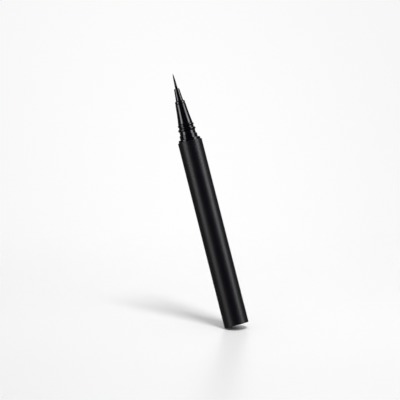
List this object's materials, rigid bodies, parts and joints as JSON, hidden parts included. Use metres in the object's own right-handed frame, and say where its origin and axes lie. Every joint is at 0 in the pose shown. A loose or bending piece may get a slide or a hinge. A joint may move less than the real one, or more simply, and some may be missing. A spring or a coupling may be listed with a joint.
{
  "type": "liquid eyeliner pen",
  "caption": "Slim round liquid eyeliner pen with a fine brush tip, cap off, with its tank, mixing ball, collector and feed core inside.",
  "frame": {"origin": "centre of the foot, on the plane that the pen stands on", "axes": "+Z along the pen's axis from the foot to the tip of the brush; the pen is round, so X and Y are free, and the collector's ink slit faces +Y"},
  "size_m": [0.0106, 0.0106, 0.1101],
  "materials": {
    "barrel_satin": "satin soft touch lacquer",
    "front_gloss": "moulded gloss",
    "plug_black": "fine spark texture",
    "seal_rubber": "moulded, dull",
    "tank_natural": "natural, milky, stained by ink",
    "ball_steel": "ground and polished",
    "plug_natural": "natural, dull",
    "collector_natural": "moulded, ink in the fins",
    "core_fibre": "bonded fibres along the rod, soaked with ink",
    "tube_clear": "clear drawn tube",
    "brush_fibre": "fine tapered filaments, damp with ink"
  },
  "bodies": {
    "pen": {"barrel": "barrel_satin", "tail_plug": "plug_black", "tail_seal": "seal_rubber", "ink_tank": "tank_natural", "inner_plug": "plug_natural", "front_seal": "seal_rubber", "collector": "collector_natural", "feed_core": "core_fibre", "feed_tube": "tube_clear", "front_section": "front_gloss", "nozzle": "front_gloss", "brush_root": "brush_fibre", "brush": "brush_fibre"},
    "ball": {"mixing_ball": "ball_steel"}
  },
  "joints": [
    {"name": "ball_slide", "type": "slide", "parent": "pen", "child": "ball", "axis": [0, 0, 1], "range_m": [0, 0.03353]}
  ]
}
